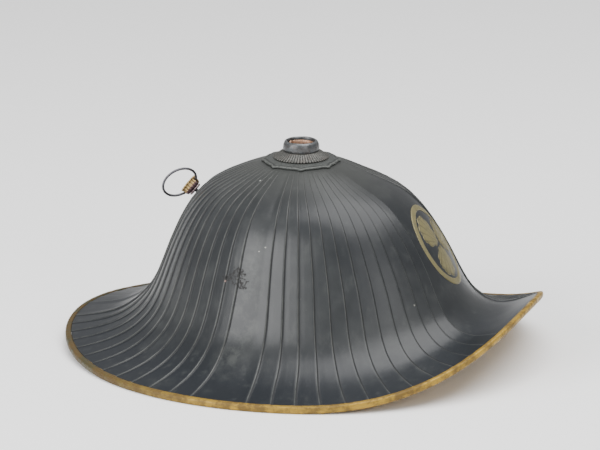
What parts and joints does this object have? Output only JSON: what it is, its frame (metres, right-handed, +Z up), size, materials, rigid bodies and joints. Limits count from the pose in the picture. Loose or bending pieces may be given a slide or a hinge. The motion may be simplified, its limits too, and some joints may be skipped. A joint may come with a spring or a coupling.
{
  "type": "jingasa helmet",
  "caption": "Bell-shaped lacquered war hat with lapped radial ribs, a wide brim that lifts at the front, an open crown tube and a loose badge ring at the back.",
  "frame": {"origin": "on the resting surface, under the middle of the hat's length and width", "axes": "+X to the front of the hat, +Y to the wearer's left, +Z up to the crown tube"},
  "size_m": [0.369, 0.342, 0.1622],
  "materials": {
    "black_lacquer": "black lacquer over rawhide, worn, satin",
    "gold_lacquer": "gold lacquer over a wrapped roll, worn, satin",
    "dark_metal": "dark patinated copper alloy, stippled, satin",
    "tube_metal": "dark patinated copper alloy, worn, satin",
    "copper": "bare copper, dull",
    "gilt": "gilt, worn, satin",
    "purple_copper": "purple-brown patinated copper, satin",
    "black_iron": "blackened iron, satin"
  },
  "bodies": {
    "helmet": {"shell": "black_lacquer", "rim_roll": "gold_lacquer", "base_plate": "dark_metal", "fluted_collar": "dark_metal", "crown_tube": "tube_metal", "tube_liner": "copper", "boss_pin": "black_iron", "boss_washer": "purple_copper", "ring_boss": "gilt"},
    "badge_ring": {"badge_ring": "black_iron"}
  },
  "joints": [
    {"name": "ring_swing", "type": "hinge", "parent": "helmet", "child": "badge_ring", "pos_m": [-0.08869, -0.00459, 0.11927], "axis": [-0.6053, -0.0321, -0.7954], "range_deg": [-42, 138]}
  ]
}
